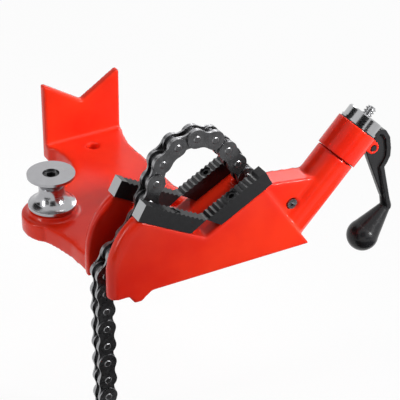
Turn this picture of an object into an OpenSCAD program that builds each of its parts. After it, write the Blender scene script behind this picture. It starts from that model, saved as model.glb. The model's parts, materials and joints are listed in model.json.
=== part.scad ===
// Top-screw bench chain vise for pipe, 3/4 inch pitch roller chain.
// X runs towards the crank, Y along the pipe, Z up; Z = 0 is the bench top,
// X = 0 the pipe's axis and Y = 0 the plane that the chain runs in.

/* [Pipe seat] */
// Diameter of the pipe that the chain is looped around
pipe_d = 54.6; // [52:0.2:57]
// Height of the pipe's axis above the bench
pipe_z = 88.8; // [87:0.2:91]
// Slope of the jaws' two flanks from level, in degrees
jaw_slope = 28.5; // [27:0.5:30]
// Distance from the pipe's axis to the tip of each jaw finger
jaw_reach = 67; // [64:1:69]
// Depth of each jaw below its teeth, square to the flank
jaw_depth = 16; // [14:0.5:17]
// Thickness of each jaw along the pipe
jaw_w = 12; // [10:0.5:14]
// Length of one jaw tooth along the flank
tooth_pitch = 5; // [4:0.5:6]
// Depth of the jaw teeth
tooth_depth = 1.5; // [1:0.1:2]

/* [Chain] */
// Distance between two neighbouring chain pins
pitch = 19.05; // [18.85:0.05:19.3]
// Radius of the round ends of the chain plates
plate_end_r = 9; // [8.6:0.1:9.2]
// Height of a chain plate at its waist
plate_waist = 14; // [13:0.5:15]
// Thickness of a chain plate
plate_t = 2; // [1.8:0.1:2.1]
// Width between the two inner plates
inner_w = 6; // [5.6:0.1:6.2]
// Diameter of the chain rollers
roller_d = 11.9; // [11:0.1:12.6]
// Diameter of the chain pins
pin_d = 5.94; // [5.5:0.02:6.2]
// Diameter of the riveted pin heads
rivet_d = 6.8; // [6.5:0.1:7.2]
// Height of the riveted pin heads outside the outer plates
rivet_h = 0.5; // [0.4:0.1:0.7]
// Room between the pipe and the inner edges of the plates
chain_lift = 1.4; // [1.2:0.1:1.8]

/* [Chain guide] */
// Where the free end of the chain hangs, left of the pipe's axis
hang_x = 88; // [86:0.5:89]
// Height at which the guide's floor turns straight down
shoulder_z = 8; // [6:0.5:10]
// Radius of the chain's turn over the guide's shoulder
shoulder_r = 26; // [24:1:28]
// Slope of the guide's floor above the shoulder, in degrees
guide_slope = 40; // [38:1:42]
// Straight length of the guide's floor
guide_l = 20; // [16:1:24]
// Radius of the chain's sag between the jaws and the guide's floor
sag_r = 50; // [44:1:56]
// Width of the slot between the two cheeks
slot_w = 34; // [32:0.5:35]
// Room between the chain and the floor of the slot
slot_gap = 2; // [1.6:0.1:2.6]
// Radius of the cheeks' rounded front edge
rim_r = 64; // [60:1:68]
// Reach of the cheeks left of the pipe's axis
rim_x = 93.5; // [92:0.5:95]
// Thickness of each cheek beside the slot
rim_w = 12; // [11:0.5:13]
// Radius of the cheeks' rounded outer edge
edge_r = 8; // [6:0.5:9]
// Depth of the toe that hooks over the edge of the bench
toe_h = 8.5; // [6:0.5:12]

/* [Arm and screw] */
// Angle of the screw above level, in degrees
screw_slope = 47; // [46:0.5:48]
// Distance of the idler pin from the pipe's axis
idler_x = 99; // [98:0.5:100]
// Height of the idler pin above the bench
idler_z = 36.5; // [36:0.5:37.5]
// Radius at which the chain's pins pass around the idler
wrap_r = 18; // [17.75:0.25:18.5]
// Diameter of the idler pin
idler_d = 9; // [8:0.5:9.5]
// Room between the chain and the idler's sleeve
sleeve_gap = 1.5; // [1.4:0.1:1.8]
// Length of the screw's axis from the idler up to the hub's top face
arm_l = 91.6; // [90:0.2:94]
// Diameter of the fixed barrel
barrel_d = 38.5; // [38:0.5:40]
// Diameter of the turning hub
hub_d = 41; // [40:0.5:42]
// Length of the turning hub
hub_l = 32; // [30:0.5:34]
// Diameter of the hub's spigot inside the barrel
spigot_d = 26; // [24:0.5:28]
// Length of the hub's spigot
spigot_l = 12; // [8:0.5:14]
// Width of the web that carries the arm
web_w = 24; // [23:0.5:27]
// Height of the web's top where it leaves the jaws
web_z = 64.5; // [63:0.5:66]
// Outer diameter of the screw's thread
thread_d = 10; // [9:0.5:11]
// Travel of the screw for one turn of the hub
lead = 3; // [2.5:0.5:3.5]
// Length of the screw that stands out above the nut
tip_l = 9.5; // [7:0.5:12]
// Diameter of the screw's plain shank
shank_d = 16; // [15:0.5:16.5]

/* [Nut and crank] */
// Diameter of the steel nut
nut_d = 36; // [34:0.5:38]
// Height of the steel nut
nut_h = 12.6; // [11:0.2:14]
// Height of the flange around the nut's foot
nut_flange_h = 2.2; // [1.6:0.2:3]
// Thickness of the dark washer below the nut
washer_t = 1; // [0.8:0.1:1.5]
// Distance of the crank's hinge pin from the screw's axis
hinge_r = 26.3; // [25.5:0.2:27]
// Depth of the crank's hinge pin below the hub's top face
hinge_drop = 6.9; // [6.5:0.1:8]
// Diameter of the crank's hinge pin
hinge_d = 6; // [5:0.5:7]
// Radius of the ears that hold the hinge pin
ear_r = 6.2; // [6:0.1:6.8]
// Thickness of each ear
ear_w = 5; // [4:0.5:6]
// Thickness of the crank's web
crank_web_w = 6; // [5:0.5:7]
// Thickness of the crank's rib
crank_rib_w = 11; // [10:0.5:13]
// Diameter of the crank's ball grip
grip_d = 31; // [29:0.5:33]

/* [Base] */
// Height of the base slab
slab_h = 17.2; // [15:0.2:19]
// Thickness of the slab's top skin
slab_skin = 8; // [6:0.5:9]
// Thickness of the slab's rim walls
slab_wall = 9; // [7:0.5:10]
// Distance of the rear pipe rest from the chain
rest_y = 222.3; // [218:0.1:226]
// Thickness of the rear pipe rest
rest_t = 9; // [8:0.5:11]
// Half of the rear rest's width
rest_half = 41; // [39:1:43]
// Height of the rear rest's horns
rest_top = 82; // [80:0.5:84]
// Diameter of the mounting bolt holes
bolt_d = 12.4; // [11:0.2:13.4]
// Distance of the rear bolt hole from the chain
rear_bolt_y = 201.3; // [196:0.1:204]
// Distance of the two front bolt holes from the chain
front_bolt_y = 67; // [65:0.5:70]
// Half of the distance between the front bolt holes
front_bolt_x = 22; // [20:1:24]

/* [Bending roller] */
// Distance of the roller left of the pipe's axis
roller_x = 86; // [84:0.5:88]
// Distance of the roller from the chain
roller_y = 108.3; // [106:0.1:110]
// Radius of the lug that carries the roller
lug_r = 29; // [27:0.5:31]
// Diameter of the raised ring on the lug
boss_d = 45; // [42:0.5:48]
// Height of the raised ring
boss_h = 5; // [4:0.5:6]
// Diameter of the roller's flanges
spool_d = 44.6; // [42:0.2:47]
// Diameter of the roller's waist
spool_waist = 24; // [23:0.5:27]
// Height of the roller
spool_h = 33.5; // [31:0.5:36]
// Thickness of the roller's flanges
spool_rim = 2.5; // [2:0.1:3.5]
// Diameter of the shoulder that the roller turns on
shoulder_d = 12; // [11:0.5:12.5]
// Diameter of the roller bolt's head
head_d = 15; // [14:0.5:16]

/* [Hidden] */
$fn = 64;

enamel = [0.80, 0.08, 0.05];
black_oxide = [0.06, 0.06, 0.07];
chain_steel = [0.42, 0.42, 0.44];
bright_steel = [0.72, 0.72, 0.74];

fit = 0.05;          // radial clearance of a pin or a shaft that turns
screw_fit = 0.1;     // radial clearance of a fixed screw
seat_fit = 0.3;      // clearance between faces that move past each other
plate_gap = 0.15;    // clearance between an inner and an outer plate
over = 1;            // how far a cut runs past a face

// Chain widths, from the middle outwards.
inner_half = inner_w / 2 + plate_t;
outer_in = inner_half + plate_gap;
outer_half = outer_in + plate_t;
chain_half = outer_half + rivet_h;

// ---- the path of the chain's pins, in the plane of X and Z ----
function dir(a) = [cos(a), sin(a)];
function heading(v) = atan2(v[1], v[0]);

pipe_c = [0, pipe_z];
idler_c = [idler_x, idler_z];
loop_r = pipe_d / 2 + chain_lift + plate_end_r;
run_angle = heading(idler_c - pipe_c) - asin((loop_r + wrap_r) / norm(idler_c - pipe_c));
run_l = sqrt(pow(norm(idler_c - pipe_c), 2) - pow(loop_r + wrap_r, 2));
off_idler = run_angle - 90;      // where the run touches the idler's circle
off_pipe = run_angle + 90;       // where the run touches the pipe's circle
on_axis = screw_slope - 90;      // where the screw's axis touches the idler's circle
axis_touch = idler_c + wrap_r * dir(on_axis);
pipe_leave = 174.7;              // where the free end drops away from the pipe
drop_from = pipe_c + loop_r * dir(pipe_leave);
shoulder_c = [shoulder_r - hang_x, shoulder_z];
on_shoulder = 90 + guide_slope;  // where the guide's floor touches the shoulder's circle
floor_end = shoulder_c + shoulder_r * dir(on_shoulder);
floor_start = floor_end + guide_l * dir(guide_slope);
sag_c = floor_start + sag_r * dir(on_shoulder);
off_sag = guide_slope - 90;      // where the floor touches the sag's circle
drop_l = sqrt(pow(norm(sag_c - drop_from), 2) - pow(sag_r, 2));
drop_angle = heading(sag_c - drop_from) + asin(sag_r / norm(sag_c - drop_from));
on_sag = drop_angle + 90;        // where the drop touches the sag's circle

function arc_l(r, sweep) = r * abs(sweep) * PI / 180;
function arc_a(r, l) = l / r * 180 / PI;

// Path lengths, counted from the idler; above the idler they are negative.
wrap_end = arc_l(wrap_r, on_axis - off_idler);
run_end = wrap_end + run_l;
loop_end = run_end + arc_l(loop_r, pipe_leave - off_pipe);
drop_end = loop_end + drop_l;
sag_end = drop_end + arc_l(sag_r, on_sag - off_sag);
guide_end = sag_end + guide_l;
turn_end = guide_end + arc_l(shoulder_r, 180 - on_shoulder);

function path(s) =
    s < 0 ? axis_touch - s * dir(screw_slope)
    : s < wrap_end ? idler_c + wrap_r * dir(on_axis - arc_a(wrap_r, s))
    : s < run_end ? idler_c + wrap_r * dir(off_idler) - (s - wrap_end) * dir(run_angle)
    : s < loop_end ? pipe_c + loop_r * dir(off_pipe + arc_a(loop_r, s - run_end))
    : s < drop_end ? drop_from + (s - loop_end) * dir(drop_angle)
    : s < sag_end ? sag_c + sag_r * dir(on_sag - arc_a(sag_r, s - drop_end))
    : s < guide_end ? floor_start - (s - sag_end) * dir(guide_slope)
    : s < turn_end ? shoulder_c + shoulder_r * dir(on_shoulder + arc_a(shoulder_r, s - guide_end))
    : [-hang_x, shoulder_z - (s - turn_end)];

// The place along the path that lies one pitch from s, found by halving.
function one_pitch(s, near, far, n) =
    n == 0 ? (near + far) / 2
    : norm(path((near + far) / 2) - path(s)) < pitch
        ? one_pitch(s, (near + far) / 2, far, n - 1)
        : one_pitch(s, near, (near + far) / 2, n - 1);
function walk(s, way, n) =
    n == 0 ? [s]
    : concat([s], walk(one_pitch(s, s + way * pitch * 0.95, s + way * pitch * 1.3, 30), way, n - 1));

links_to_screw = 12;
links_hanging = 13;
to_screw = walk(loop_end, -1, links_to_screw);
hanging = walk(loop_end, 1, links_hanging);
n_links = links_to_screw + links_hanging;
pins = [
    for (i = [0 : n_links])
        i < links_to_screw ? path(to_screw[links_to_screw - i]) : path(hanging[i - links_to_screw])
];

// ---- places along the screw's axis, measured from the hub's top face ----
hub_top = axis_touch + arm_l * dir(screw_slope);
screw_eye = -norm(pins[0] - hub_top);
eye_r = plate_end_r - 1;
eye_block = plate_end_r + 3;     // length of the screw's eye from the pin to the shank
travel_room = 2;                 // room in the arm for the travel of the screw's eye
barrel_root = 45;                // how far the barrel's cylinder runs on into the bridge
tail_hollow_y = 89;              // where the hollow under the slab's tail starts
tail_hollow_w = 48;
hinge_c = hub_top - hinge_drop * dir(screw_slope) + hinge_r * dir(screw_slope - 90);
nut_top = washer_t + nut_h;
chain_room = 1.4;                // room in height around the links in the barrel
sleeve_r = sqrt(pow(wrap_r, 2) - pow(pitch / 2, 2)) - plate_waist / 2 - sleeve_gap;
side_room = 1;                   // room beside the pin heads in the arm

// ---- places around the jaws and the base ----
jaw_apex = pipe_z - pipe_d / 2 / cos(jaw_slope);
seat_apex = jaw_apex - jaw_depth / cos(jaw_slope);
jaw_end = jaw_reach * cos(jaw_slope);
cheek_in = slot_w / 2;
cheek_out = cheek_in + rim_w;
rim_c = [rim_r - rim_x, 24];
rib_half = 5;                    // half of the rib under the jaws
rim_lap = 12;                    // how far the bridge reaches into the rounded rim
flank_end_x = 103.6;              // foot of the casting's sloping end
slot_end_x = 69;                 // end of the chain's slot in the top of the web
screw_from = 31;                 // distance of the jaw screws from the apex
jaw_bolt_r = 3;
jaw_head_r = 5;
jaw_head_h = 5;
jaw_bolt_l = 26;
idler_head_d = 10;
ear_gap = crank_web_w + 2 * seat_fit;
boss_top = slab_h + boss_h;
roller_washer_t = 1.5;
spool_z = boss_top + roller_washer_t + seat_fit;
head_h = 9;
socket_h = 5;
spool_sink = (spool_d - spool_waist) / 2;
spool_arc_r = (pow(spool_h / 2 - spool_rim, 2) + pow(spool_sink, 2)) / 2 / spool_sink;
spool_arc_x = spool_waist / 2 + spool_arc_r;

// The rim's arc runs up to where it meets the seat of the jaws' left flank.
seat_c = [0, seat_apex];
leftward = dir(180 - jaw_slope);
from_rim = seat_c - rim_c;
seat_l = sqrt(pow(from_rim * leftward, 2) - from_rim * from_rim + pow(rim_r, 2))
    - from_rim * leftward;
seat_left = seat_c + seat_l * leftward;

// Draws a flat shape in the plane of X and Z, w thick around y.
module upright(w, y = 0)
    translate([0, y, 0])
        rotate([90, 0, 0])
            linear_extrude(w, center = true)
                children();

// Puts a child that is drawn along Z onto the screw's axis, a above the hub's top.
module on_screw(a = 0)
    translate([hub_top[0], 0, hub_top[1]])
        rotate([0, 90 - screw_slope, 0])
            translate([0, 0, a])
                children();

// Turns a child that is drawn in X and Z so that its X follows the angle a from p.
module along(p, a)
    translate([p[0], 0, p[1]])
        rotate([0, -a, 0])
            children();

// A strip with round ends, from p to q. Its sides start just inside the ends' circles.
module strip(p, q, r) {
    side = r - 0.02;
    translate(p)
        rotate(heading(q - p))
            translate([0, -side])
                square([norm(q - p), 2 * side]);
    translate(p)
        circle(r);
    translate(q)
        circle(r);
}

function arc_points(c, r, from, to, n) =
    [for (i = [0 : n]) c + r * dir(from + (to - from) * i / n)];

// ---- base casting ----
function seat_z(x) = seat_apex + abs(x) * tan(jaw_slope);

// Outline of the cheeks and of the bridge between them.
module side_profile() {
    seat_x = jaw_end + 1.3;
    polygon([
        [flank_end_x + 5.5, 0], rim_c - [rim_lap, rim_c[1]], rim_c - [rim_lap, 0],
        seat_left - rim_lap * leftward, seat_c, [seat_x, seat_z(seat_x)], [flank_end_x, 8]
    ]);
}

// One half of the rim's section, with its rounded outer edges.
module rim_section() {
    translate([0, edge_r - cheek_out])
        square([rim_r, 2 * (cheek_out - edge_r)]);
    translate([0, -cheek_out])
        square([rim_r - edge_r, 2 * cheek_out]);
    for (side = [-1, 1])
        translate([rim_r - edge_r, side * (cheek_out - edge_r)])
            circle(edge_r);
}

// The rounded front of the cheeks: an arc above, and straight down from its end.
module rim() {
    intersection() {
        translate([rim_c[0], 0, rim_c[1]])
            rotate([90, 0, 0])
                rotate_extrude()
                    rim_section();
        upright(2 * cheek_out + over)
            polygon([
                rim_c, rim_c + 2 * rim_r * dir(180), rim_c + 2 * rim_r * dir(150),
                seat_left + rim_lap * leftward, seat_c - [over, 0]
            ]);
    }
    translate([rim_c[0], 0, 0])
        mirror([1, 0, 0])
            linear_extrude(rim_c[1])
                rim_section();
}

// The web's right edge runs down the screw's axis, inside the barrel.
module web_profile() {
    foot_x = hub_top[0] - hub_top[1] / tan(screw_slope);
    polygon([[40, 30], [40, web_z], [69, web_z], [140, web_z - 9.4], [foot_x, 0], [60, 0]]);
}

// Everything left of and above the floor that the hanging chain lies over.
module guide_void() {
    lie = plate_end_r + slot_gap;
    edge_x = shoulder_c[0] - shoulder_r + lie;
    polygon(concat(
        [drop_from - 20 * dir(drop_angle) + lie * dir(drop_angle + 90)],
        arc_points(sag_c, sag_r + lie, on_sag, off_sag, 6),
        arc_points(shoulder_c, shoulder_r - lie, on_shoulder, 180, 8),
        [[edge_x, -toe_h - over], [-rim_x - 10, -toe_h - over], [-rim_x - 10, pipe_z + 20]]
    ));
}

// The way of the chain from the jaws, around the idler and up to the screw's eye.
module run_void() {
    reach = plate_end_r + 3;
    wrap_reach = wrap_r + plate_end_r + 2.2;
    strip(idler_c + wrap_r * dir(off_idler), pipe_c + loop_r * dir(off_pipe), reach);
    polygon([
        idler_c + (wrap_r - plate_end_r) * dir(off_idler),
        idler_c + wrap_r * dir(off_idler) - 70 * dir(run_angle),
        [slot_end_x, web_z + 30], [slot_end_x, web_z - over]
    ]);
    polygon(concat([idler_c], arc_points(idler_c, wrap_reach, off_idler, on_axis, 12)));
    translate(idler_c)
        circle(wrap_r - plate_end_r + 1);
    // opening under the idler
    translate([idler_x - 16, -over])
        square([30, idler_z]);
}

module slab_outline() {
    polygon([
        [-rest_half, rest_y + rest_t], [-rest_half, rest_y - 4], [-36, rest_y - 11],
        [-34, rest_y - 22], [-33, rest_y - 37], [-36, rest_y - 52], [-44, rest_y - 67],
        [-roller_x + 11, roller_y + 25], [-roller_x - 19, roller_y - 20], [-98, 68],
        [-94, 51], [-rim_x + 1, 35], [-rim_x + 6, 0], [62, 0], [62, 45], [44, 75], [36, 95],
        [34, rest_y - 32], [38, rest_y - 12], [rest_half, rest_y - 4],
        [rest_half, rest_y + rest_t]
    ]);
    translate([-roller_x, roller_y])
        circle(lug_r);
}

// The hollow under the slab leaves a rim, and bosses around the bolts.
module slab_hollow() {
    difference() {
        union() {
            translate([-tail_hollow_w / 2, tail_hollow_y])
                square([tail_hollow_w, rest_y - tail_hollow_y - slab_wall]);
            polygon([[-78, 53], [-12, 53], [-24, 145], [-34, 145], [-62, 123], [-84, 75]]);
        }
        translate([0, rear_bolt_y])
            circle(bolt_d / 2 + slab_wall);
        for (side = [-1, 1])
            translate([side * front_bolt_x, front_bolt_y])
                circle(bolt_d / 2 + slab_wall);
        translate([-roller_x, roller_y])
            circle(shoulder_d / 2 + slab_wall);
    }
}

module rest_profile()
    polygon([
        [-rest_half, 0], [-rest_half, rest_top], [-rest_half + 2.5, rest_top],
        [0, pipe_z - pipe_d / 2 / cos(30)],
        [rest_half - 2.5, rest_top], [rest_half, rest_top], [rest_half, 0]
    ]);

// One jaw screw's place: sx picks the flank, sy the jaw.
module at_jaw_screw(sx, sy)
    translate([0, sy * (cheek_in + jaw_w / 2), jaw_apex])
        rotate([0, -sx * jaw_slope, 0])
            translate([sx * screw_from, 0, 0])
                children();

module base_casting() color(enamel)
    difference() {
        union() {
            // slab, lug and roller boss
            linear_extrude(slab_h)
                slab_outline();
            translate([-roller_x, roller_y, 0])
                cylinder(d = boss_d, h = boss_top);
            // rear rest with its foot
            translate([0, rest_y + rest_t / 2, 0])
                upright(rest_t)
                    rest_profile();
            // cheeks and bridge
            upright(2 * cheek_out)
                side_profile();
            rim();
            // toe over the edge of the bench
            for (side = [-1, 1])
                upright(rim_w, side * (cheek_in + rim_w / 2))
                    polygon([
                        [-75, over], [-74.5, -2], [-70, -toe_h], [-63.5, -toe_h],
                        [-53, 0], [-53, over]
                    ]);
            // web and barrel
            upright(web_w)
                web_profile();
            intersection() {
                on_screw(-arm_l - barrel_root)
                    cylinder(d = barrel_d, h = arm_l + barrel_root - hub_l - seat_fit);
                translate([0, -hub_d, 0])
                    cube([hub_top[0] + hub_d, 2 * hub_d, hub_top[1] + hub_d]);
            }
        }
        // slot for the hanging chain
        upright(slot_w)
            guide_void();
        // way of the chain through the arm
        upright(2 * (chain_half + side_room))
            run_void();
        along(axis_touch, screw_slope)
            translate([-over, -chain_half - side_room, -plate_end_r - chain_room])
                cube([arm_l + screw_eye + eye_block + travel_room + over, 2 * (chain_half + side_room),
                      2 * (plate_end_r + chain_room)]);
        // bores of the barrel
        on_screw(screw_eye)
            cylinder(d = shank_d + 2 * screw_fit, h = -screw_eye);
        on_screw(-hub_l - spigot_l - seat_fit)
            cylinder(d = spigot_d + 2 * fit, h = spigot_l + seat_fit + over);
        // idler pin, and the spot face around its head
        translate([idler_x, 0, idler_z])
            rotate([90, 0, 0]) {
                cylinder(d = idler_d + 2 * screw_fit, h = web_w + 2 * over, center = true);
                translate([0, 0, web_w / 2 - seat_fit])
                    cylinder(d = idler_head_d + 2 * seat_fit, h = (barrel_d - web_w) / 2 + over);
            }
        // bolts of the jaws
        for (sx = [-1, 1], sy = [-1, 1])
            at_jaw_screw(sx, sy)
                translate([0, 0, -jaw_bolt_l - over])
                    cylinder(r = jaw_bolt_r + screw_fit, h = jaw_bolt_l);
        // roller bolt and mounting bolts
        translate([-roller_x, roller_y, -over])
            cylinder(d = shoulder_d + 2 * screw_fit, h = boss_top + 2 * over);
        translate([0, rear_bolt_y, -over])
            cylinder(d = bolt_d, h = slab_h + 2 * over);
        for (side = [-1, 1])
            translate([side * front_bolt_x, front_bolt_y, -over])
                cylinder(d = bolt_d, h = slab_h + 2 * over);
        // hollows of the bridge, beside its middle rib, and of the slab
        upright(2 * (cheek_out - slab_wall))
            for (side = [0, 1])
                mirror([side, 0])
                    polygon([
                        [rib_half, -over], [rib_half, seat_apex - 14], [40, 26], [54, -over]
                    ]);
        translate([0, 0, -over])
            linear_extrude(slab_h - slab_skin + over)
                slab_hollow();
    }

// ---- jaws ----
// One flank of a jaw, drawn along X from the apex, its teeth at the top.
module flank_profile() {
    n = floor((jaw_reach - 4) / tooth_pitch);
    teeth = [
        for (i = [n : -1 : 1])
            each [[i * tooth_pitch, 0], [i * tooth_pitch - tooth_pitch / 2, -tooth_depth]]
    ];
    low = jaw_depth * tan(jaw_slope);
    polygon(concat(
        [[low, -jaw_depth], [jaw_reach, -jaw_depth], [jaw_reach, 0]],
        teeth,
        [[0, 0]]
    ));
}

module jaw(sy) color(black_oxide)
    difference() {
        upright(jaw_w, sy * (cheek_in + jaw_w / 2))
            for (sx = [0, 1])
                mirror([sx, 0])
                    translate([0, jaw_apex])
                        rotate(jaw_slope)
                            flank_profile();
        for (sx = [-1, 1])
            at_jaw_screw(sx, sy) {
                translate([0, 0, -jaw_depth - over])
                    cylinder(r = jaw_bolt_r + screw_fit, h = jaw_depth + 2 * over);
                translate([0, 0, -tooth_depth - jaw_head_h])
                    cylinder(r = jaw_head_r + screw_fit, h = jaw_head_h + tooth_depth + over);
            }
    }

module jaw_screws() color(black_oxide)
    for (sx = [-1, 1], sy = [-1, 1])
        at_jaw_screw(sx, sy)
            difference() {
                union() {
                    translate([0, 0, -tooth_depth - jaw_head_h])
                        cylinder(r = jaw_head_r, h = jaw_head_h - 0.5);
                    translate([0, 0, -jaw_bolt_l])
                        cylinder(r = jaw_bolt_r, h = jaw_bolt_l - tooth_depth - jaw_head_h + 0.5);
                }
                translate([0, 0, -tooth_depth - 3.5])
                    cylinder(r = 2.9, h = 4, $fn = 6);
            }

// ---- bending roller ----
module roller() color(bright_steel)
    translate([-roller_x, roller_y, spool_z])
        difference() {
            rotate_extrude($fn = 96)
                difference() {
                    translate([shoulder_d / 2 + fit, 0])
                        square([(spool_d - shoulder_d) / 2 - fit, spool_h]);
                    translate([spool_arc_x, spool_h / 2])
                        circle(spool_arc_r, $fn = 96);
                }
            translate([0, 0, spool_h - head_h])
                cylinder(d = head_d + 2 * seat_fit, h = head_h + over);
        }

module roller_washer() color(bright_steel)
    translate([-roller_x, roller_y, boss_top])
        difference() {
            cylinder(d = spool_waist, h = roller_washer_t);
            translate([0, 0, -over])
                cylinder(d = shoulder_d + 2 * fit, h = roller_washer_t + 2 * over);
        }

module roller_bolt() color(black_oxide)
    translate([-roller_x, roller_y, 0])
        difference() {
            union() {
                translate([0, 0, 2])
                    cylinder(d = shoulder_d, h = spool_z + spool_h - head_h + seat_fit - 2);
                translate([0, 0, spool_z + spool_h - head_h + seat_fit])
                    cylinder(d = head_d, h = head_h - 2);
            }
            translate([0, 0, spool_z + spool_h + seat_fit - 2 - socket_h])
                cylinder(r = 4.6, h = socket_h + over, $fn = 6);
        }

// ---- idler ----
module idler_pin() color(bright_steel)
    translate([idler_x, 0, idler_z])
        rotate([90, 0, 0])
            difference() {
                union() {
                    cylinder(d = idler_d, h = web_w, center = true);
                    translate([0, 0, web_w / 2])
                        cylinder(d = idler_head_d, h = 1);
                }
                translate([0, 0, web_w / 2 - 3])
                    cylinder(d = idler_d / 2, h = 3 + 2 * over);
            }

module idler_sleeve() color(bright_steel)
    translate([idler_x, 0, idler_z])
        rotate([90, 0, 0])
            difference() {
                cylinder(
                    r = sleeve_r,
                    h = 2 * (chain_half + side_room - seat_fit),
                    center = true
                );
                cylinder(d = idler_d + 2 * fit, h = web_w, center = true);
            }

// ---- chain ----
module plate_shape() {
    flat = plate_end_r - 0.7;
    nip_r = 12;
    difference() {
        union() {
            circle(plate_end_r);
            translate([pitch, 0])
                circle(plate_end_r);
            translate([0, -flat])
                square([pitch, 2 * flat]);
        }
        for (side = [-1, 1])
            translate([pitch / 2, side * (plate_waist / 2 + nip_r)])
                circle(nip_r);
    }
}

module inner_link() color(chain_steel)
    difference() {
        union() {
            for (side = [-1, 1])
                upright(plate_t, side * (inner_w + plate_t) / 2)
                    plate_shape();
            for (x = [0, pitch])
                translate([x, 0, 0])
                    rotate([90, 0, 0])
                        cylinder(d = roller_d, h = inner_w, center = true);
        }
        for (x = [0, pitch])
            translate([x, 0, 0])
                rotate([90, 0, 0])
                    cylinder(d = pin_d + 2 * fit, h = 2 * inner_half + 2 * over, center = true);
    }

module outer_link() color(chain_steel) {
    for (side = [-1, 1])
        upright(plate_t, side * (outer_in + plate_t / 2))
            plate_shape();
    for (x = [0, pitch])
        translate([x, 0, 0])
            rotate([90, 0, 0]) {
                cylinder(d = pin_d, h = 2 * outer_half, center = true);
                for (side = [0, 1])
                    mirror([0, 0, side])
                        translate([0, 0, outer_half])
                            cylinder(d1 = rivet_d, d2 = rivet_d - 1.6, h = rivet_h);
            }
}

module chain_link(i)
    along(pins[i - 1], heading(pins[i] - pins[i - 1]))
        if (i % 2 == 1) outer_link();
        else inner_link();

// ---- screw, hub, nut and crank ----
module thread_profile(l) {
    n = floor(l / lead);
    root = thread_d / 2 - 1.4;
    polygon(concat(
        [[0, -over], [thread_d / 2, -over]],
        [for (i = [1 : n]) each [
            [thread_d / 2, (i - 0.65) * lead], [root, (i - 0.5) * lead],
            [root, (i - 0.15) * lead], [thread_d / 2, i * lead]]],
        [[thread_d / 2 - 1, l], [0, l]]
    ));
}

module chain_screw() color(bright_steel) {
    shank_end = -hub_l - spigot_l - 6;
    along(pins[0], screw_slope)
        difference() {
            union() {
                rotate([90, 0, 0])
                    cylinder(r = eye_r, h = 2 * inner_half, center = true);
                translate([0, -inner_half, -eye_r])
                    cube([eye_block, 2 * inner_half, 2 * eye_r]);
            }
            rotate([90, 0, 0])
                cylinder(d = pin_d + 2 * fit, h = 2 * inner_half + 2 * over, center = true);
        }
    on_screw(screw_eye + eye_block - over)
        cylinder(d = shank_d, h = shank_end - screw_eye - eye_block + over);
    on_screw(shank_end)
        rotate_extrude()
            thread_profile(nut_top + tip_l - shank_end);
}

module crank_hub() color(enamel)
    difference() {
        union() {
            on_screw(-hub_l)
                cylinder(d = hub_d, h = hub_l);
            on_screw(-hub_l - spigot_l)
                cylinder(d = spigot_d, h = spigot_l + over);
            for (side = [-1, 1])
                upright(ear_w, side * (ear_gap + ear_w) / 2)
                    strip(hinge_c, hinge_c - 9 * dir(screw_slope - 90), ear_r);
        }
        on_screw(-hub_l - spigot_l - over)
            cylinder(d = thread_d + 2 * screw_fit, h = hub_l + spigot_l + 2 * over);
        // room for the crank between the ears
        upright(ear_gap)
            translate(hinge_c)
                circle(ear_r + 2.2);
        translate([hinge_c[0], 0, hinge_c[1]])
            rotate([90, 0, 0])
                cylinder(d = hinge_d + 2 * screw_fit, h = hub_d, center = true);
    }

module nut_washer() color(black_oxide)
    on_screw()
        difference() {
            cylinder(d = nut_d + 1, h = washer_t);
            translate([0, 0, -over])
                cylinder(d = thread_d + 2 * screw_fit, h = washer_t + 2 * over);
        }

module hub_nut() color(bright_steel)
    on_screw(washer_t)
        difference() {
            union() {
                cylinder(d = nut_d + 2, h = nut_flange_h);
                cylinder(d = nut_d, h = nut_h - 1.2);
                translate([0, 0, nut_h - 1.2])
                    cylinder(d1 = nut_d, d2 = nut_d - 2.4, h = 1.2);
            }
            translate([0, 0, -over])
                cylinder(d = thread_d + 2 * fit, h = nut_h + 2 * over);
        }

// The crank is drawn around its hinge pin, in the plane of X and Z.
elbow = [25.4, -73.2];
grip_c = [0.4, -99.8];
module crank_web() {
    circle(ear_r - 0.2);
    polygon([
        [-5.4, -3], [-1, -15], [17.6, -60], [24.4, -66], [25.8, -60], [16.4, -24.2],
        [19.4, -19.2], [20.2, -8.2], [15.6, 5.4], [7, 11], [3.5, 5.4]
    ]);
}

module crank_rib() {
    rib_r = 2.6;
    points = [
        [4.2, 10.4], [6, 13.2], [9.6, 13.8], [13.6, 11.6], [17.8, 4.6], [19.6, -6.2],
        [19.6, -14.8], [17, -20.4], [13.6, -25.2], elbow
    ];
    for (i = [1 : len(points) - 1])
        strip(points[i - 1], points[i], rib_r);
}

module crank_handle() color(black_oxide)
    translate([hinge_c[0], 0, hinge_c[1]]) {
        difference() {
            union() {
                upright(crank_web_w)
                    crank_web();
                upright(crank_rib_w)
                    crank_rib();
            }
            rotate([90, 0, 0])
                cylinder(d = hinge_d + 2 * fit, h = hub_d, center = true);
        }
        // pear-shaped grip, turned around the line from its ball to the elbow
        along(grip_c, heading(elbow - grip_c))
            rotate([0, 90, 0])
                rotate_extrude()
                    grip_profile();
    }

// Right half of the grip's section: the ball and its cone, which starts just inside the ball.
module grip_profile() {
    neck_r = crank_rib_w / 2 - 0.4;
    neck = norm(elbow - grip_c);
    touch = asin((grip_d / 2 - neck_r) / neck);
    intersection() {
        circle(d = grip_d);
        translate([0, -grip_d])
            square([grip_d, 2 * grip_d]);
    }
    polygon([[0, 0], (grip_d / 2 - 0.25) * dir(touch), [neck_r, neck], [0, neck]]);
}

module crank_pin() color(bright_steel)
    translate([hinge_c[0], 0, hinge_c[1]])
        rotate([90, 0, 0])
            cylinder(d = hinge_d, h = ear_gap + 2 * ear_w + 1, center = true);

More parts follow.
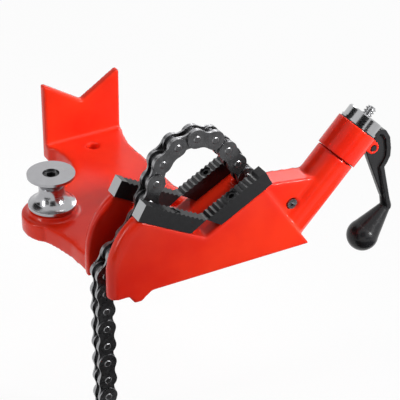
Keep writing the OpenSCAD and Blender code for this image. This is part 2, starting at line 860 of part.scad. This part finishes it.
base_casting();
jaw(-1);  // jaw_front
jaw(1);  // jaw_rear
jaw_screws();
roller();
roller_washer();
roller_bolt();
idler_pin();
idler_sleeve();
chain_screw();
crank_hub();
hub_nut();
nut_washer();
crank_handle();
crank_pin();
for (i = [1 : n_links])
    chain_link(i);
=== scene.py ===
import bmesh
import bpy
import json
import math
from mathutils import Matrix, Vector


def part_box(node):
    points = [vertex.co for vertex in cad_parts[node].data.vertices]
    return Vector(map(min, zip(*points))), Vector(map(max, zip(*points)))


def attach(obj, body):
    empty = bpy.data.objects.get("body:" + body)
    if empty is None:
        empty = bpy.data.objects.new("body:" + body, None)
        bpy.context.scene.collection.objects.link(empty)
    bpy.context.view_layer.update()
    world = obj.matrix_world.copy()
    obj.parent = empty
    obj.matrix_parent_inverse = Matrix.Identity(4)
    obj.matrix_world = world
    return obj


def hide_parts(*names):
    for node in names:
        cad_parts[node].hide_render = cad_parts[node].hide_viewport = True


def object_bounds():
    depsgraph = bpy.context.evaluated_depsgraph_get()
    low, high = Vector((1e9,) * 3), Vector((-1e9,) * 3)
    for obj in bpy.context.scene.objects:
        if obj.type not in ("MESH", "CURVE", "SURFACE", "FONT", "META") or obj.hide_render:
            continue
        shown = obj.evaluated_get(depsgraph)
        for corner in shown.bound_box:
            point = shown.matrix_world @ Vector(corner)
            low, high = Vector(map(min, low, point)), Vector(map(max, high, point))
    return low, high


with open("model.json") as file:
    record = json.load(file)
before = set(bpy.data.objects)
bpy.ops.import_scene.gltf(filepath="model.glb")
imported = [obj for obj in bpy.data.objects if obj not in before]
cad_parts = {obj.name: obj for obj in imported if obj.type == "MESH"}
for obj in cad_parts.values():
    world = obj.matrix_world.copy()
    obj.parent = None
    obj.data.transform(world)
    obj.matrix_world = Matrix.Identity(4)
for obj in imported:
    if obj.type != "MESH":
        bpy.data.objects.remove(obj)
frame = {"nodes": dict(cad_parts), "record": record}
cad_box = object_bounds()
nodes = frame["nodes"]
record = frame["record"]

MM = 0.001
LINKS = sorted(name for name in nodes if name.startswith("chain_link_"))
JOINTS = {joint["name"]: joint for joint in record["behaviour"]["joints"]}

# The camera was fitted to the photograph's straight edges and the chain's even pitch.
IMAGE_PX = 400
FOCAL_PX = 1581
SENSOR_MM = 36
CAMERA_AT = Vector((-0.5765, -1.0414, 0.7921))
CAMERA_YAW = math.radians(-29.37)
CAMERA_PITCH = math.radians(31.51)
CAMERA_ROLL = math.radians(0.68)

# The studio, in metres and watts. Lamps and cards are turned towards a target.
CENTRE = (0.03, 0.08, 0.05)
LAMPS = [  # name, place, size, watts, target, spread in degrees
    ("key", (0.85, -0.80, 0.55), (0.35, 0.35), 0.72, (0.17, 0.0, 0.07), 24),
    ("strip", (-1.1, 0.08, 0.52), (0.12, 0.6), 4.0, CENTRE, 180),
    ("top", (0.25, 0.2, 1.7), (0.6, 0.6), 6.5, CENTRE, 180),
    ("sheen", (0.74, 0.79, 0.63), (0.56, 0.34), 2.2, CENTRE, 180),
]
CARDS = [  # name, place, size, target
    ("card_low", (-0.9, -0.35, -0.25), (0.9, 0.6), CENTRE),
    ("card_left", (-1.1, -0.45, 0.45), (0.5, 0.7), CENTRE),
    ("card_front", (0.30, -1.15, -0.10), (0.8, 0.5), CENTRE),
    ("card_top", (-0.15, 0.1, 1.3), (0.45, 0.35), CENTRE),
    ("card_camera", (-0.50, -1.15, 0.80), (1.0, 1.0), CENTRE),
    ("card_rear", (-0.75, 0.80, 0.80), (0.9, 0.9), CENTRE),
    ("card_floor", (0.10, -0.17, -0.149), (0.5, 0.28), (0.10, -0.17, -1.0)),
]
CARD_TONE = (0.02, 0.02, 0.02)
SKY_TONE = (0.93, 0.96, 1.0)
SKY_LIGHT = 0.20
FLOOR_TONE = (0.86, 0.86, 0.86)
FLOOR_WHITE = 0.94
FLOOR_SIZE = (8.0, 8.0)
FLOOR_DROP = 2 * MM

# The screw's axis runs through the top of the hub.
HUB_TOP = Vector(JOINTS["hub_turn"]["pos_m"])
SCREW_AXIS = Vector(JOINTS["hub_turn"]["axis"])
SCREW_SLOPE = math.asin(SCREW_AXIS.z)

# The drawn screw, in millimetres; places run along its axis from the hub's top.
THREAD_R = 5.0
THREAD_ROOT_R = 3.6
THREAD_LEAD = 3.0
THREAD_FROM = -50.0
THREAD_TO = 23.1
THREAD_OVERLAP = 1.0
THREAD_STEP = 0.25
TIP_CHAMFER = 0.4
SHANK_R = 8.0
SHANK_CHAMFER = 0.8
SHANK_END = 2.0
SHANK_STEP = 6.0
EYE_R = 8.0
EYE_HALF = 5.0
EYE_BLOCK = 12.0
PIN_R = 3.02
SCREW_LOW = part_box("chain_screw")[0]
EYE_AT = Vector((SCREW_LOW.x + EYE_R * MM, 0, SCREW_LOW.z + EYE_R * MM))
SHARP_ANGLE = math.radians(38)

# Shares of the lead at which the thread's crest, falling flank and root end.
CREST_END, FALL_END, ROOT_END = 0.30, 0.48, 0.82

# The crank's arm swells towards its elbow: places from the hinge pin and radii, in millimetres.
ARM_FROM, ARM_R = Vector((16.4, 0, -36.6)), 2.6
ELBOW, ELBOW_R = Vector((25.2, 0, -73.0)), 5.5
SWELL_STEP = 0.05

# The slope of the jaws' flanks, and the X in millimetres left of which their ends are ground bright.
JAW_SLOPE = math.radians(28.5)
JAW_TIP_X = -48

# CAD nodes get their edges broken where two faces meet more sharply than this.
EDGE_ANGLE = math.radians(35)
EDGE_SEGMENTS = 2

# Colours, linear; a DEEP one is the other end of its mottle.
RED = (0.86, 0.034, 0.009)
RED_DEEP = (0.76, 0.018, 0.006)
BLACK = (0.020, 0.020, 0.022)
BLACK_DEEP = (0.006, 0.006, 0.0065)
OXIDE = (0.020, 0.020, 0.022)
OXIDE_DEEP = (0.010, 0.010, 0.011)
OXIDE_METAL = 0.3
GROUND = (0.52, 0.53, 0.54)
GROUND_DEEP = (0.40, 0.41, 0.42)
GROUND_METAL = 0.7
CHAIN_FACE = (0.15, 0.15, 0.155)
CHAIN_FACE_DEEP = (0.050, 0.050, 0.052)
# The chain plates' edge colours are a painted highlight, lighter than the faces.
CHAIN_HIGHLIGHT = (0.42, 0.42, 0.43)
CHAIN_HIGHLIGHT_DEEP = (0.24, 0.24, 0.25)
POLISHED = (0.42, 0.42, 0.435)
PLATED = (0.46, 0.46, 0.47)
PIN_STEEL = (0.45, 0.45, 0.46)
MOTTLE_DIP = 0.86


# ---- camera, light and floor ----
def add_camera():
    back = Vector((
        math.sin(CAMERA_YAW) * math.cos(CAMERA_PITCH),
        -math.cos(CAMERA_YAW) * math.cos(CAMERA_PITCH),
        math.sin(CAMERA_PITCH),
    ))
    level = Vector((0, 0, 1)).cross(back).normalized()
    upright = back.cross(level)
    right = math.cos(CAMERA_ROLL) * level + math.sin(CAMERA_ROLL) * upright
    up = back.cross(right)
    data = bpy.data.cameras.new("camera")
    data.sensor_width = SENSOR_MM
    data.lens = SENSOR_MM * FOCAL_PX / IMAGE_PX
    data.clip_end = 20
    camera = bpy.data.objects.new("camera", data)
    turn = Matrix((right, up, back)).transposed().to_4x4()
    camera.matrix_world = Matrix.Translation(CAMERA_AT) @ turn
    bpy.context.scene.collection.objects.link(camera)
    bpy.context.scene.camera = camera


def seen_directly(tree):
    """1 for camera, glossy and transmission rays, 0 for light that falls on surfaces."""
    path = tree.nodes.new("ShaderNodeLightPath")
    first = math_node(tree, "MAXIMUM", path.outputs["Is Camera Ray"], path.outputs["Is Glossy Ray"])
    return math_node(tree, "MAXIMUM", first, path.outputs["Is Transmission Ray"])


def mix_shaders(tree, factor, first, second, output):
    mix = tree.nodes.new("ShaderNodeMixShader")
    tree.links.new(factor, mix.inputs["Fac"])
    tree.links.new(first.outputs[0], mix.inputs[1])
    tree.links.new(second.outputs[0], mix.inputs[2])
    tree.links.new(mix.outputs[0], tree.nodes[output].inputs["Surface"])


def add_world():
    world = bpy.data.worlds.new("studio")
    bpy.context.scene.world = world
    world.use_nodes = True
    tree = world.node_tree
    soft = tree.nodes["Background"]
    soft.inputs["Color"].default_value = (*SKY_TONE, 1)
    soft.inputs["Strength"].default_value = SKY_LIGHT
    white = tree.nodes.new("ShaderNodeBackground")
    white.inputs["Color"].default_value = (1, 1, 1, 1)
    white.inputs["Strength"].default_value = 1.0
    mix_shaders(tree, seen_directly(tree), soft, white, "World Output")


def turned_to(place, target, front):
    return (Vector(target) - Vector(place)).to_track_quat(front, "Y").to_euler()


def add_lamp(name, place, size, watts, target, spread_deg):
    data = bpy.data.lights.new(name, "AREA")
    data.spread = math.radians(spread_deg)
    data.shape = "RECTANGLE"
    data.size, data.size_y = size
    data.energy = watts
    lamp = bpy.data.objects.new(name, data)
    lamp.location = place
    lamp.rotation_euler = turned_to(place, target, "-Z")
    bpy.context.scene.collection.objects.link(lamp)


def add_rectangle(name, size, z=0.0):
    mesh = bpy.data.meshes.new(name)
    w, h = size[0] / 2, size[1] / 2
    mesh.from_pydata([(-w, -h, z), (w, -h, z), (w, h, z), (-w, h, z)], [], [(0, 1, 2, 3)])
    rectangle = bpy.data.objects.new(name, mesh)
    bpy.context.scene.collection.objects.link(rectangle)
    return rectangle


def add_card(name, place, size, target):
    """A dark card that only reflections see, as a studio stands one beside bright metal."""
    card = add_rectangle(name, size)
    card.location = place
    card.rotation_euler = turned_to(place, target, "Z")
    material, _, shader = new_material(name)
    shader.inputs["Base Color"].default_value = (*CARD_TONE, 1)
    shader.inputs["Roughness"].default_value = 1.0
    card.data.materials.append(material)
    card.visible_camera = False
    card.visible_diffuse = False
    card.visible_shadow = False


def add_floor():
    """A pale floor that keeps a faint shadow and is seen as almost white."""
    floor = add_rectangle("floor", FLOOR_SIZE, cad_box[0][2] - FLOOR_DROP)
    material, tree, shader = new_material("floor")
    shader.inputs["Base Color"].default_value = (*FLOOR_TONE, 1)
    shader.inputs["Roughness"].default_value = 0.9
    white = tree.nodes.new("ShaderNodeEmission")
    factor = math_node(tree, "MULTIPLY", seen_directly(tree), FLOOR_WHITE)
    mix_shaders(tree, factor, shader, white, "Material Output")
    floor.data.materials.append(material)


# ---- material helpers ----
def new_material(name):
    material = bpy.data.materials.new(name)
    material.use_nodes = True
    tree = material.node_tree
    return material, tree, tree.nodes["Principled BSDF"]


def math_node(tree, operation, a, b):
    node = tree.nodes.new("ShaderNodeMath")
    node.operation = operation
    for socket, value in zip(node.inputs, (a, b)):
        if isinstance(value, (int, float)):
            socket.default_value = value
        else:
            tree.links.new(value, socket)
    return node.outputs[0]


def noise(tree, size_mm, detail, stretch=(1, 1, 1), turn=(0, 0, 0)):
    """Noise whose spots are about size_mm across."""
    coordinates = tree.nodes.new("ShaderNodeTexCoord")
    mapping = tree.nodes.new("ShaderNodeMapping")
    mapping.inputs["Rotation"].default_value = turn
    mapping.inputs["Scale"].default_value = stretch
    tree.links.new(coordinates.outputs["Object"], mapping.inputs["Vector"])
    node = tree.nodes.new("ShaderNodeTexNoise")
    node.inputs["Scale"].default_value = 1 / (size_mm * MM)
    node.inputs["Detail"].default_value = detail
    tree.links.new(mapping.outputs[0], node.inputs["Vector"])
    return node.outputs["Fac"]


def ramp(tree, value, low, high, out_low, out_high):
    node = tree.nodes.new("ShaderNodeMapRange")
    tree.links.new(value, node.inputs["Value"])
    limits = {"From Min": low, "From Max": high, "To Min": out_low, "To Max": out_high}
    for name, number in limits.items():
        node.inputs[name].default_value = number
    return node.outputs["Result"]


def spread(tree, value, out_low, out_high):
    """Spreads a noise's middle values, which are nearly all of it, over out_low to out_high."""
    return ramp(tree, value, 0.3, 0.7, out_low, out_high)


def mix_colour(tree, factor, first, second):
    node = tree.nodes.new("ShaderNodeMix")
    node.data_type = "RGBA"
    tree.links.new(factor, node.inputs["Factor"])
    for socket, colour in ((node.inputs[6], first), (node.inputs[7], second)):
        if isinstance(colour, tuple):
            socket.default_value = (*colour, 1)
        else:
            tree.links.new(colour, socket)
    return node.outputs[2]


def mix_numbers(tree, factor, first, second):
    node = tree.nodes.new("ShaderNodeMix")
    tree.links.new(factor, node.inputs["Factor"])
    tree.links.new(first, node.inputs[2])
    tree.links.new(second, node.inputs[3])
    return node.outputs[0]


def bump(tree, shader, heights):
    """Chains bumps: pairs of a height in 0..1 and its depth in millimetres."""
    normal = None
    for height, depth_mm in heights:
        node = tree.nodes.new("ShaderNodeBump")
        node.inputs["Strength"].default_value = 1.0
        node.inputs["Distance"].default_value = depth_mm * MM
        tree.links.new(height, node.inputs["Height"])
        if normal is not None:
            tree.links.new(normal, node.inputs["Normal"])
        normal = node.outputs[0]
    tree.links.new(normal, shader.inputs["Normal"])


def facing(tree, direction, low, high):
    """1 where the surface faces along direction, in the piece's axes; low and high are cosines."""
    coordinates = tree.nodes.new("ShaderNodeTexCoord")
    dot = tree.nodes.new("ShaderNodeVectorMath")
    dot.operation = "DOT_PRODUCT"
    dot.inputs[1].default_value = direction
    tree.links.new(coordinates.outputs["Normal"], dot.inputs[0])
    return ramp(tree, dot.outputs["Value"], low, high, 0, 1)


def left_of(tree, x_mm):
    """1 where the piece lies left of x_mm at rest."""
    coordinates = tree.nodes.new("ShaderNodeTexCoord")
    parts = tree.nodes.new("ShaderNodeSeparateXYZ")
    tree.links.new(coordinates.outputs["Object"], parts.inputs[0])
    return math_node(tree, "LESS_THAN", parts.outputs["X"], x_mm * MM)


# ---- materials ----
def enamel():
    """Thick gloss enamel over sand-cast iron: slow waves, the sand's grain and orange peel."""
    material, tree, shader = new_material("red_enamel")
    tone = ramp(tree, noise(tree, size_mm=60, detail=4), 0.35, 0.65, 0, 1)
    rough = spread(tree, noise(tree, size_mm=5, detail=4), 0.16, 0.27)
    tree.links.new(mix_colour(tree, tone, RED_DEEP, RED), shader.inputs["Base Color"])
    tree.links.new(rough, shader.inputs["Roughness"])
    shader.inputs["Specular IOR Level"].default_value = 0.24
    waves = noise(tree, size_mm=24, detail=2)
    grain = noise(tree, size_mm=2.6, detail=3)
    peel = noise(tree, size_mm=0.9, detail=2)
    bump(tree, shader, [(waves, 0.25), (grain, 0.05), (peel, 0.012)])
    return material


def black_gloss():
    """Black gloss paint on the crank's casting."""
    material, tree, shader = new_material("black_enamel")
    tone = noise(tree, size_mm=12, detail=3)
    rough = spread(tree, noise(tree, size_mm=4, detail=3), 0.16, 0.30)
    tree.links.new(mix_colour(tree, tone, BLACK_DEEP, BLACK), shader.inputs["Base Color"])
    tree.links.new(rough, shader.inputs["Roughness"])
    shader.inputs["Specular IOR Level"].default_value = 0.30
    waves = noise(tree, size_mm=9, detail=2)
    peel = noise(tree, size_mm=0.9, detail=2)
    bump(tree, shader, [(waves, 0.12), (peel, 0.012)])
    return material


def oxide_tones(tree):
    """Colour and roughness of black oxide on steel."""
    colour = mix_colour(tree, noise(tree, size_mm=3.5, detail=4), OXIDE_DEEP, OXIDE)
    rough = spread(tree, noise(tree, size_mm=1.4, detail=4), 0.26, 0.46)
    return colour, rough


def black_oxide():
    material, tree, shader = new_material("black_oxide")
    colour, rough = oxide_tones(tree)
    tree.links.new(colour, shader.inputs["Base Color"])
    tree.links.new(rough, shader.inputs["Roughness"])
    shader.inputs["Metallic"].default_value = OXIDE_METAL
    bump(tree, shader, [(noise(tree, size_mm=1.1, detail=3), 0.02)])
    return material


def jaw_oxide():
    """Black oxide, with the jaws' left end faces ground bright."""
    material, tree, shader = new_material("jaw_oxide")
    colour, rough = oxide_tones(tree)
    end = (-math.cos(JAW_SLOPE), 0, math.sin(JAW_SLOPE))
    mask = math_node(tree, "MULTIPLY", facing(tree, end, 0.90, 0.97), left_of(tree, JAW_TIP_X))
    scratch = noise(tree, size_mm=1.2, detail=4, stretch=(0.12, 1, 1))
    ground = mix_colour(tree, scratch, GROUND_DEEP, GROUND)
    ground_rough = spread(tree, scratch, 0.38, 0.52)
    metal = ramp(tree, mask, 0, 1, OXIDE_METAL, GROUND_METAL)
    tree.links.new(mix_colour(tree, mask, colour, ground), shader.inputs["Base Color"])
    tree.links.new(mix_numbers(tree, mask, rough, ground_rough), shader.inputs["Roughness"])
    tree.links.new(metal, shader.inputs["Metallic"])
    bump(tree, shader, [(noise(tree, size_mm=1.1, detail=3), 0.02)])
    return material


def chain_steel():
    """Plates dull on their faces; their edges get a lighter colour, a painted highlight."""
    material, tree, shader = new_material("chain_steel")
    front = facing(tree, (0, -1, 0), 0.80, 0.95)
    rear = facing(tree, (0, 1, 0), 0.80, 0.95)
    face = math_node(tree, "MAXIMUM", front, rear)
    mottle = noise(tree, size_mm=4.5, detail=4)
    dull = mix_colour(tree, mottle, CHAIN_FACE_DEEP, CHAIN_FACE)
    # Painted highlight: the plates' edges get a lighter colour than their faces.
    bright = mix_colour(tree, mottle, CHAIN_HIGHLIGHT_DEEP, CHAIN_HIGHLIGHT)
    rough = spread(tree, noise(tree, size_mm=2, detail=4), 0.24, 0.44)
    tree.links.new(mix_colour(tree, face, bright, dull), shader.inputs["Base Color"])
    tree.links.new(rough, shader.inputs["Roughness"])
    shader.inputs["Metallic"].default_value = 0.9
    bump(tree, shader, [(noise(tree, size_mm=1.5, detail=3), 0.02)])
    return material


def turned_steel(name, base, turn=(0, 0, 0), rough_low=0.14, rough_high=0.28):
    """Steel turned on a lathe: fine rings around the axis that turn brings to Z."""
    material, tree, shader = new_material(name)
    rings = noise(tree, size_mm=0.6, detail=2, stretch=(0.02, 0.02, 1), turn=turn)
    mottle = noise(tree, size_mm=8, detail=3)
    dim = tuple(MOTTLE_DIP * channel for channel in base)
    rough = spread(tree, rings, rough_low, rough_high)
    tree.links.new(mix_colour(tree, mottle, dim, base), shader.inputs["Base Color"])
    tree.links.new(rough, shader.inputs["Roughness"])
    shader.inputs["Metallic"].default_value = 1.0
    bump(tree, shader, [(rings, 0.012)])
    return material


# ---- castings ----
def evaluated_mesh(obj):
    graph = bpy.context.evaluated_depsgraph_get()
    return bpy.data.meshes.new_from_object(obj.evaluated_get(graph), depsgraph=graph)


def add_ball(mesh, place, radius_mm):
    bm = bmesh.new()
    bm.from_mesh(mesh)
    at = Matrix.Translation(place)
    bmesh.ops.create_icosphere(bm, subdivisions=4, radius=radius_mm * MM, matrix=at)
    bm.to_mesh(mesh)
    bm.free()


def cast_copy(node, name, body, material, voxel_mm, rounds, balls=()):
    """A copy of a CAD node with a casting's soft edges and fillets; balls thicken it in places."""
    source = nodes[node]
    copy = bpy.data.objects.new(name, source.data.copy())
    for place, radius_mm in balls:
        add_ball(copy.data, place, radius_mm)
    bpy.context.scene.collection.objects.link(copy)
    remesh = copy.modifiers.new("skin", "REMESH")
    remesh.mode = "VOXEL"
    remesh.voxel_size = voxel_mm * MM
    smooth = copy.modifiers.new("soften", "SMOOTH")
    smooth.factor = 0.5
    smooth.iterations = rounds
    mesh = evaluated_mesh(copy)
    copy.modifiers.clear()
    copy.data = mesh
    mesh.materials.clear()
    mesh.materials.append(material)
    mesh.shade_smooth()
    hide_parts(node)
    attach(copy, body)


def steps(start, end, step):
    count = max(1, round((end - start) / step))
    return [start + (end - start) * i / count for i in range(count + 1)]


def arm_swell():
    """Balls along the crank's lower arm, which grow towards the elbow."""
    low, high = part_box("crank_pin")
    hinge = (Vector(low) + Vector(high)) / 2
    swell = []
    for t in steps(0, 1, SWELL_STEP):
        radius = ARM_R + (ELBOW_R - ARM_R) * t
        swell.append((hinge + ARM_FROM.lerp(ELBOW, t) * MM, radius))
    return swell


# ---- the drawn screw ----
def turned_rows(bm, radius_at, heights, around=40):
    """A closed body of rows around Z; radius_at(height, turn) is in millimetres."""
    rows = []
    for z in heights:
        row = []
        for k in range(around):
            turn = k / around
            r = radius_at(z, turn)
            angle = 2 * math.pi * turn
            row.append(bm.verts.new((r * MM * math.cos(angle), r * MM * math.sin(angle), z * MM)))
        rows.append(row)
    for low, high in zip(rows, rows[1:]):
        for k in range(around):
            n = (k + 1) % around
            bm.faces.new((low[k], low[n], high[n], high[k]))
    bm.faces.new(list(reversed(rows[0])))
    bm.faces.new(rows[-1])


def thread_radius(z, turn):
    """A trapezoid thread, with a chamfered tip."""
    phase = (z / THREAD_LEAD - turn) % 1
    depth = THREAD_R - THREAD_ROOT_R
    if phase < CREST_END:
        r = THREAD_R
    elif phase < FALL_END:
        r = THREAD_R - depth * (phase - CREST_END) / (FALL_END - CREST_END)
    elif phase < ROOT_END:
        r = THREAD_ROOT_R
    else:
        r = THREAD_ROOT_R + depth * (phase - ROOT_END) / (1 - ROOT_END)
    return min(r, THREAD_ROOT_R - TIP_CHAMFER + (THREAD_TO - z))


def shank_from():
    return -(EYE_AT - HUB_TOP).length / MM + EYE_BLOCK


def shank_radius(z, turn):
    ends = min(z - shank_from(), THREAD_FROM - z)
    return SHANK_R - max(0.0, SHANK_CHAMFER - ends)


def shank_heights():
    first = shank_from()
    half = SHANK_CHAMFER / 2
    middle = steps(first + SHANK_END, THREAD_FROM - SHANK_END, SHANK_STEP)
    lower = [first, first + half, first + SHANK_CHAMFER]
    upper = [THREAD_FROM - SHANK_CHAMFER, THREAD_FROM - half, THREAD_FROM]
    return lower + middle + upper


def add_eye(bm, around=32):
    """A block with a round end and the first chain pin's bore, X along the screw."""
    outer = []
    inner = []
    for k in range(around):
        angle = math.pi / 2 + math.pi * k / (around / 2)
        cos, sin = math.cos(angle), math.sin(angle)
        inner.append((PIN_R * cos, PIN_R * sin))
        if k <= around / 2:
            outer.append((EYE_R * cos, EYE_R * sin))
        else:
            share = (k - around / 2) / (around / 2)
            outer.append((EYE_BLOCK, EYE_R * (2 * share - 1)))
    rings = []
    for side in (-1, 1):
        for ring in (outer, inner):
            rings.append([bm.verts.new((x * MM, side * EYE_HALF * MM, z * MM)) for x, z in ring])
    front_outer, front_inner, rear_outer, rear_inner = rings
    for k in range(around):
        n = (k + 1) % around
        for a, b in ((front_outer, front_inner), (front_inner, rear_inner),
                     (rear_inner, rear_outer), (rear_outer, front_outer)):
            bm.faces.new((a[k], a[n], b[n], b[k]))
    bmesh.ops.recalc_face_normals(bm, faces=bm.faces)


def drawn_screw(material):
    """The thread and the shank are turned around Z, then brought onto the screw's axis."""
    bm = bmesh.new()
    turned_rows(bm, thread_radius, steps(THREAD_FROM - THREAD_OVERLAP, THREAD_TO, THREAD_STEP))
    turned_rows(bm, shank_radius, shank_heights())
    bm.transform(Matrix.Translation(HUB_TOP) @ Matrix.Rotation(math.pi / 2 - SCREW_SLOPE, 4, "Y"))
    eye = bmesh.new()
    add_eye(eye)
    eye.transform(Matrix.Translation(EYE_AT) @ Matrix.Rotation(-SCREW_SLOPE, 4, "Y"))
    mesh = bpy.data.meshes.new("drawn_screw")
    part = bpy.data.meshes.new("eye")
    eye.to_mesh(part)
    bm.from_mesh(part)
    bm.to_mesh(mesh)
    screw = bpy.data.objects.new("drawn_screw", mesh)
    bpy.context.scene.collection.objects.link(screw)
    mesh.materials.append(material)
    mesh.shade_smooth()
    mesh.set_sharp_from_angle(angle=SHARP_ANGLE)
    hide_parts("chain_screw")
    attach(screw, "screw")


# ---- pieces that keep their CAD mesh ----
def finish_node(node, material, bevel_mm):
    """A CAD node gets its material and broken edges."""
    obj = nodes[node]
    for slot in obj.material_slots:
        slot.material = material
    edge = obj.modifiers.new("edges", "BEVEL")
    edge.width = bevel_mm * MM
    edge.segments = EDGE_SEGMENTS
    edge.limit_method = "ANGLE"
    edge.angle_limit = EDGE_ANGLE


def main():
    bpy.context.scene.view_settings.view_transform = "Standard"
    add_camera()
    add_world()
    for lamp in LAMPS:
        add_lamp(*lamp)
    for card in CARDS:
        add_card(*card)
    add_floor()

    red = enamel()
    black = black_gloss()
    jaw_finish = jaw_oxide()
    dark = black_oxide()
    chain = chain_steel()
    lathe = turned_steel("turned_steel", POLISHED)
    along_screw = (0, SCREW_SLOPE - math.pi / 2, 0)
    plated = turned_steel("plated_nut", PLATED, along_screw, rough_low=0.10, rough_high=0.22)
    pin_steel = turned_steel("pin_steel", PIN_STEEL, (math.pi / 2, 0, 0))

    cast_copy("base_casting", "casting_skin", "casting", red, voxel_mm=1.5, rounds=8)
    cast_copy("crank_hub", "hub_skin", "hub", red, voxel_mm=0.6, rounds=5)
    cast_copy("crank_handle", "crank_skin", "crank", black, voxel_mm=0.6, rounds=4,
              balls=arm_swell())

    finish_node("jaw_front", jaw_finish, 0.35)
    finish_node("jaw_rear", jaw_finish, 0.35)
    finish_node("jaw_screws", dark, 0.3)
    finish_node("roller", lathe, 0.5)
    finish_node("roller_washer", lathe, 0.3)
    finish_node("roller_bolt", dark, 0.4)
    finish_node("idler_pin", pin_steel, 0.4)
    finish_node("idler_sleeve", lathe, 0.3)
    drawn_screw(plated)
    finish_node("hub_nut", plated, 0.5)
    finish_node("nut_washer", dark, 0.2)
    finish_node("crank_pin", dark, 0.4)
    for name in LINKS:
        finish_node(name, chain, 0.35)


main()
